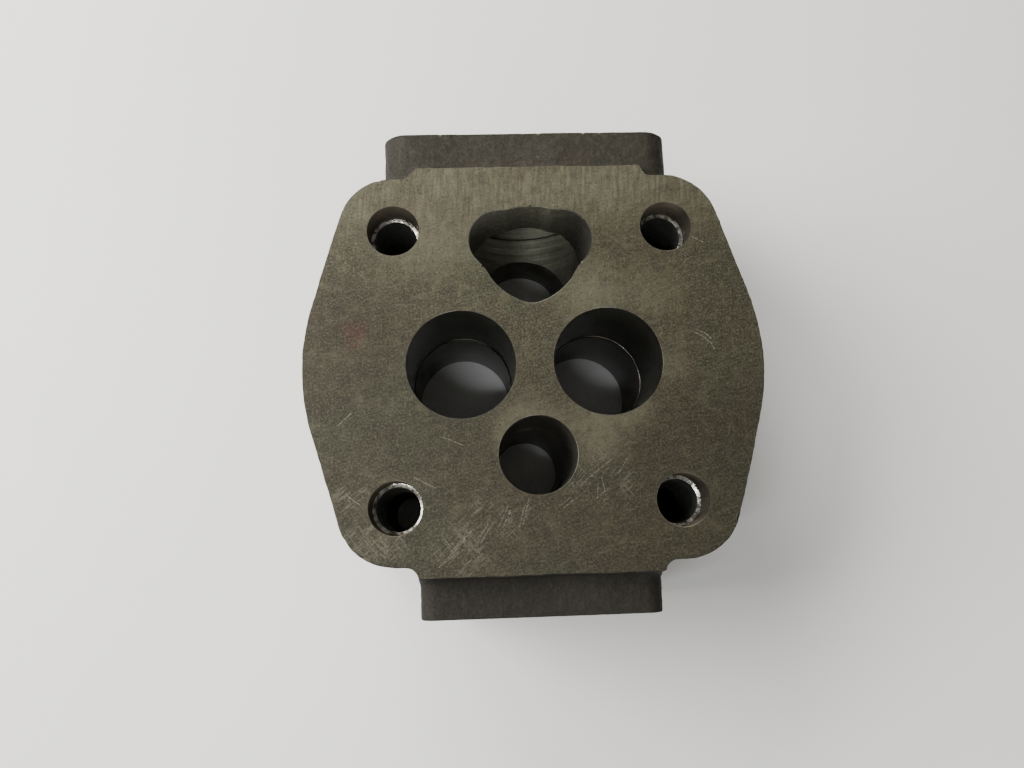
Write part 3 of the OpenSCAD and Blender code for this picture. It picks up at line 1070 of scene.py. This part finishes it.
def bolt_sleeve(node, sx, sy):
    """Turned sleeve whose bright chamfer shows chatter marks."""
    low, high = SLEEVE_LO[2], SLEEVE_HI[2]
    wide, deep = SLEEVE_R - BOLT_R - 0.1, SLEEVE_CHAMFER
    wall = [(BOLT_R, h, 1) for h in np.linspace(low + deep, high - deep - 0.1, 12)]
    mouth = [(BOLT_R + wide * u, high - deep * (1 - u) ** 1.2, 0) for u in np.linspace(0, 1, 7)]
    profile = [(SLEEVE_R, high - 0.1, 0), (SLEEVE_R, low, 0), (BOLT_R + deep, low, 0), *wall,
               *mouth]

    def chatter(radius, height, angles):
        if height < high - deep or radius > SLEEVE_R - 0.2:
            return np.full(len(angles), radius)
        return radius + 0.05 * np.sin(23 * angles + sx) * np.sin(7 * angles + sy)

    turned_piece(node + "_turned", node, profile, (sx * BOLT_AT, sy * BOLT_AT, 0), 0,
                 (STEEL, DEEP), chatter)


def valve_liner(node, x):
    """Liner pressed in from below, with a bright lip at its top."""
    lip_r, lip_foot = VALVE_R - LIP_INSET, LINER_TOP - LIP_H
    wall = [(LINER_BORE_R, h, 0) for h in np.linspace(LINER_FOOT, lip_foot - 0.6, 24)]
    lip = [(lip_r + LIP_ROUND * (1 - math.cos(a)), LINER_TOP - LIP_ROUND * (1 - math.sin(a)), 1)
           for a in np.radians(np.linspace(0, 90, 7))]
    profile = [(LINER_R, LINER_TOP, 0), (LINER_R, 0.4, 0), (LINER_R - 0.4, 0, 0),
               (LINER_BORE_R + LINER_FOOT, 0, 0), *wall, (lip_r, lip_foot, 0), *lip]
    turned_piece(node + "_bored", node, profile, (x, 0, 0), 0, (LINER, LIP_STEEL),
                 steps=160)


def port_bushing(node, outer_r, bore_r, facing):
    """Plain bushing, flush with its pad."""
    inner, outer, face = BUSH_CHAMFER, BUSH_SEAT_CHAMFER, PAD_Y[facing]
    wall = [(bore_r, h, 0) for h in np.linspace(BUSH_Y + inner, face - inner, 10)]
    profile = [(outer_r, BUSH_Y, 0), (bore_r + inner, BUSH_Y, 0), *wall,
               (bore_r + inner, face, 0), (outer_r - outer, face, 0), (outer_r, face - outer, 0)]
    turned_piece(node + "_turned", node, profile, (0, 0, PORT_Z), facing, (BUSHING,))


head = cast_head()
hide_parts("head_casting")
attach(head, "root")
for fore, sy in (("front", -1), ("back", 1)):
    for side, sx in (("left", -1), ("right", 1)):
        bolt_sleeve(f"{fore}_{side}_bolt_sleeve", sx, sy)
valve_liner("left_valve_liner", -VALVE_X)
valve_liner("right_valve_liner", VALVE_X)
port_bushing("back_port_bushing", BACK_BUSH_R, BACK_BORE_R, 1)
port_bushing("front_port_bushing", FRONT_BUSH_R, FRONT_BORE_R, -1)

# ---- floor, light and camera ----

FLOOR_HALF = 25000
FOCAL_LENGTH = 30.23
CAMERA_AT = (-0.0184, -0.0524, HEAD_H * MM + 0.2574)
CAMERA_TURN = (10.089, -2.425, -1.475)
LIT_POINT = (0, 0, 0.04)

# Soft round lamps that shine at the head: place and width in metres, power and colour.
LAMPS = {
    "window": ((-0.84, 0.2, 0.71), 0.8, 22, (1.0, 0.985, 0.96)),
    "back_window": ((-0.46, 0.92, 0.72), 0.6, 11.6, (1.0, 0.99, 0.965)),
    "front_fill": ((0.3, -1.05, 0.4), 0.7, 3.4, (1.0, 0.985, 0.96)),
}
# A long narrow lamp along X, overhead, that glints in the steel rings.
TUBE = ((-0.18, -0.165, 0.62), 0.24, 1.1, (0.94, 0.98, 1.0))
TUBE_WIDTH = 0.02

# The room's light by direction: an axis, a low and a high place on it, and the share at each.
ROOM_COLOR = (1.0, 0.975, 0.93, 1)
ROOM_LIGHT = (("Z", (0.72, 0.95, 0.38, 0.26)), ("X", (-0.3, 0.8, 1.15, 0.32)))


def add_floor():
    size = FLOOR_HALF
    corners = [(-size, -size, 0), (size, -size, 0), (size, size, 0), (-size, size, 0)]
    floor = make_object("floor", make_mesh("floor", corners, [(0, 1, 2, 3)]), FLOOR)


def add_lamp(name, shape, place, size, power, color):
    """An area lamp that shines straight down."""
    data = bpy.data.lights.new(name, "AREA")
    data.shape = shape
    data.size = size
    data.energy = power
    data.color = color
    lamp = bpy.data.objects.new(name, data)
    lamp.location = place
    bpy.context.scene.collection.objects.link(lamp)
    return lamp


def add_lights():
    for name, numbers in LAMPS.items():
        lamp = add_lamp(name, "DISK", *numbers)
        way = Vector(LIT_POINT) - lamp.location
        lamp.rotation_euler = way.to_track_quat("-Z", "Y").to_euler()
    tube = add_lamp("tube", "RECTANGLE", *TUBE)
    tube.data.size_y = TUBE_WIDTH


def add_camera():
    data = bpy.data.cameras.new("camera")
    data.sensor_width = 36
    data.lens = FOCAL_LENGTH
    data.clip_start = 0.01
    camera = bpy.data.objects.new("camera", data)
    camera.rotation_mode = "ZYX"
    camera.rotation_euler = [math.radians(angle) for angle in CAMERA_TURN]
    camera.location = CAMERA_AT
    bpy.context.scene.collection.objects.link(camera)
    bpy.context.scene.camera = camera


def add_room():
    """Soft light from all round, dimmer from above and from the right."""
    world = bpy.data.worlds.new("soft_room")
    world.use_nodes = True
    nodes, links = world.node_tree.nodes, world.node_tree.links
    direction = nodes.new("ShaderNodeTexCoord")
    parts = nodes.new("ShaderNodeSeparateXYZ")
    links.new(direction.outputs["Generated"], parts.inputs[0])
    light = nodes.new("ShaderNodeMath")
    light.operation = "MULTIPLY"
    links.new(light.outputs[0], nodes["Background"].inputs["Strength"])
    for slot, (axis, numbers) in enumerate(ROOM_LIGHT):
        dim = nodes.new("ShaderNodeMapRange")
        dim.interpolation_type = "SMOOTHSTEP"
        for socket, number in zip(dim.inputs[1:5], numbers):
            socket.default_value = number
        links.new(parts.outputs[axis], dim.inputs[0])
        links.new(dim.outputs[0], light.inputs[slot])
    nodes["Background"].inputs["Color"].default_value = ROOM_COLOR
    bpy.context.scene.world = world


add_floor()
add_lights()
add_room()
add_camera()
